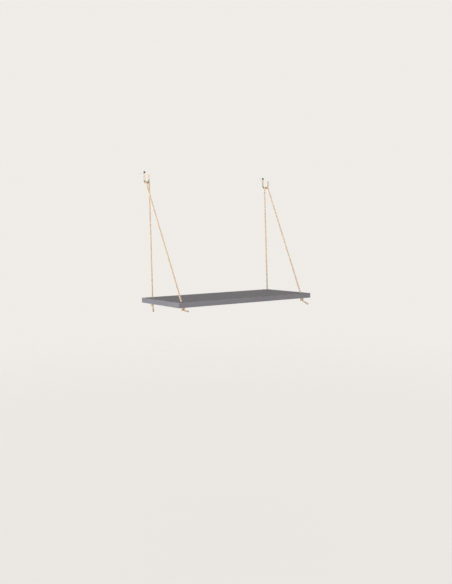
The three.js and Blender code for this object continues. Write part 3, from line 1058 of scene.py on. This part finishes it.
def make_screw(side, material):
    name = side_name(side)
    screw = turned(f"{name}_screw", screw_rings(), SCREW_SIDES)
    cut(screw, recess_cross())
    sharpen(screw, SCREW_SHARP_ANGLE)
    finish_piece(screw, material)
    screw.data.transform(Matrix.Translation((0, -STRIP_THICKNESS - SCREW_SEAT, 0)))
    place(screw, side * hook_x, "wall_fixings")
    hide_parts(f"{name}_hook_screw")


def plug_rings():
    """The rings of the plug: its collar, its ribs and its nose."""
    radius = PLUG_DIAMETER / 2
    rings = [(0, plain(radius)), (PLUG_COLLAR_LENGTH, plain(radius))]
    for rib in range(int((PLUG_LENGTH - 2 * PLUG_COLLAR_LENGTH) / PLUG_RIB_PITCH)):
        start = PLUG_COLLAR_LENGTH + rib * PLUG_RIB_PITCH
        rings.append((start, plain(radius - PLUG_RIB_DEPTH)))
        rings.append((start + PLUG_RIB_PITCH, plain(radius)))
    rings.append((PLUG_LENGTH, plain(PLUG_NOSE_DIAMETER / 2)))
    return rings


def make_plug(side, material):
    name = side_name(side)
    plug = turned(f"{name}_plug", plug_rings(), PLUG_SIDES)
    cut(plug, drill(PLUG_BORE, -TOOL_REACH, 2 * PLUG_LENGTH, PLUG_SIDES))
    low = (-PLUG_SLOT_WIDTH / 2, PLUG_LENGTH - PLUG_SLOT_LENGTH, -PLUG_DIAMETER)
    high = (PLUG_SLOT_WIDTH / 2, 2 * PLUG_LENGTH, PLUG_DIAMETER)
    cut(plug, box_piece("slot", low, high))
    sharpen(plug, PLUG_SHARP_ANGLE)
    finish_piece(plug, material)
    plug.data.transform(Matrix.Translation((0, PLUG_SEAT, 0)))
    place(plug, side * hook_x, "wall_fixings")
    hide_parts(f"{name}_wall_plug")


def domed_radius(distance, length):
    """Full thickness with rounded ends that sit inside the holes."""
    to_end = min(distance, length - distance, rope_radius)
    round_share = 1 - (1 - to_end / rope_radius) ** 2
    return rope_radius * math.sqrt(max(ROPE_TIP_SHARE**2, round_share))


def smooth_step(value, low, high):
    """0 up to low, 1 from high on, and smooth between them."""
    share = min(1, max(0, (value - low) / (high - low)))
    return share * share * (3 - 2 * share)


def make_hanging_rope(side, material):
    name = side_name(side)
    route = hanging_route(side)

    def is_hairy(point):
        return board_high.z + BARE_NEAR_BOARD < point[2] < crown_z - BARE_NEAR_HOOK

    rope = laid_rope(f"{name}_hanging_rope", route, domed_radius, is_hairy)
    finish_piece(rope, material)
    points, distance = even_spacing(route, HANGING_ROPE_POINT_SPACING)
    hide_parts(f"{name}_rope_bight", f"{name}_front_strand", f"{name}_rear_strand")
    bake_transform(rope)


def knotted_radius(side, is_front, tail_length):
    """Full thickness in the hole and the tail, and squeezed thinner in the knot."""
    foot, mouth = hole_mouths(side, is_front)
    stub = (mouth - foot).length

    def radius_at(distance, length):
        tail_start = length - tail_length
        thin = smooth_step(distance, stub - ROPE_TAPER_LENGTH, stub)
        thin -= smooth_step(distance, tail_start, tail_start + ROPE_TAPER_LENGTH)
        return rope_radius + (KNOT_ROPE_DIAMETER / 2 - rope_radius) * thin

    return radius_at


def make_rope_end(side, is_front, material):
    name = f"{side_name(side)}_{'front' if is_front else 'rear'}"
    route = rope_end_route(side, is_front, *TAILS[name])
    radius_at = knotted_radius(side, is_front, TAILS[name][0])

    def is_hairy(point):
        return point[2] < board_low.z - BARE_NEAR_BOARD

    rope = laid_rope(f"{name}_knot_and_tail", route, radius_at, is_hairy, cut_end=True)
    finish_piece(rope, material)
    points, distance = even_spacing(route, KNOTTED_END_POINT_SPACING)
    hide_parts(f"{name}_rope_end")
    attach(rope, "shelf")


# Floor and lights
def make_floor():
    """A pale floor that glows a little and fades out away from the shelf."""
    corners = [(-1, -1), (1, -1), (1, 1), (-1, 1)]
    vertices = [(x * FLOOR_HALF, y * FLOOR_HALF, -FLOOR_DEPTH) for x, y in corners]
    floor = add_mesh("floor", vertices, [(0, 1, 2, 3)], smooth=False)
    material, tree, shader = new_material("pale_floor")
    shader.inputs["Base Color"].default_value = (*FLOOR_COLOR, 1)
    shader.inputs["Roughness"].default_value = 0.9
    shader.inputs["Emission Color"].default_value = (*FLOOR_COLOR, 1)
    shader.inputs["Emission Strength"].default_value = FLOOR_GLOW
    tree.links.new(floor_fade(tree), shader.inputs["Alpha"])
    floor.data.materials.append(material)


def floor_fade(tree):
    """1 under the shelf and 0 far from it."""
    distance = tree.nodes.new("ShaderNodeVectorMath")
    distance.operation = "LENGTH"
    flat = stretched(tree, object_space(tree), (1, 1, 0))
    tree.links.new(flat, distance.inputs[0])
    fade = tree.nodes.new("ShaderNodeMapRange")
    fade.interpolation_type = "SMOOTHSTEP"
    fade.inputs["From Min"].default_value = FLOOR_FADE_START
    fade.inputs["From Max"].default_value = FLOOR_FADE_END
    fade.inputs["To Min"].default_value = 1
    fade.inputs["To Max"].default_value = 0
    tree.links.new(distance.outputs["Value"], fade.inputs["Value"])
    return fade.outputs["Result"]


def area_light(name, place_at, width, power, color, lit):
    """A soft square panel that lights only the pieces in the collection lit."""
    light = bpy.data.lights.new(name, "AREA")
    light.shape = "SQUARE"
    light.size = width
    light.energy = power
    light.color = color
    lamp = bpy.data.objects.new(name, light)
    lamp.location = place_at
    facing = Vector(LIGHT_AIM) - Vector(place_at)
    lamp.rotation_euler = facing.to_track_quat("-Z", "Y").to_euler()
    lamp.visible_camera = False
    lamp.light_linking.receiver_collection = lit
    bpy.context.scene.collection.objects.link(lamp)
    return lamp


def shelf_pieces():
    """A collection of all the pieces but the floor, which then stays even from all sides."""
    pieces = bpy.data.collections.new("lit_pieces")
    for piece in bpy.context.scene.objects:
        if piece.type == "MESH" and piece.name != "floor":
            pieces.objects.link(piece)
    return pieces


def make_world():
    """Even light from all sides, dimmer overhead."""
    world = bpy.data.worlds.new("studio")
    world.use_nodes = True
    tree = world.node_tree
    height = tree.nodes.new("ShaderNodeSeparateXYZ")
    direction = tree.nodes.new("ShaderNodeTexCoord").outputs["Generated"]
    tree.links.new(direction, height.inputs["Vector"])
    color = ramp(tree, height.outputs["Z"], OVERHEAD_SPAN, (BACKGROUND, OVERHEAD))
    tree.links.new(color, tree.nodes["Background"].inputs["Color"])
    bpy.context.scene.world = world


def light_scene():
    make_world()
    bpy.context.scene.view_settings.view_transform = "Standard"
    lit = shelf_pieces()
    area_light(
        "front_light", FRONT_LIGHT_PLACE, FRONT_LIGHT_WIDTH, FRONT_LIGHT_POWER, FRONT_LIGHT_COLOR, lit
    )
    left_light = area_light(
        "left_light", LEFT_LIGHT_PLACE, LEFT_LIGHT_WIDTH, LEFT_LIGHT_POWER, LEFT_LIGHT_COLOR, lit
    )
    left_light.visible_glossy = False


add_camera()
jute = jute_rope("jute", ROPE_GROOVE_SHADE, NO_TINT)
# A copy of the jute with painted shade on the knots' tails and lighter painted shade in the knots' grooves
knotted_jute_painted_shade = jute_rope("knotted_jute_painted_shade", KNOT_GROOVE_SHADE, KNOTTED_TAIL_PAINTED_SHADE)
brass = satin_brass()
steel = dark_steel()
plastic = plug_plastic()
make_board(painted_board())
for side in (-1, 1):
    make_hanging_rope(side, jute)
    make_hook(side, brass)
    make_screw(side, steel)
    make_plug(side, plastic)
    for is_front in (True, False):
        make_rope_end(side, is_front, knotted_jute_painted_shade)
make_floor()
light_scene()
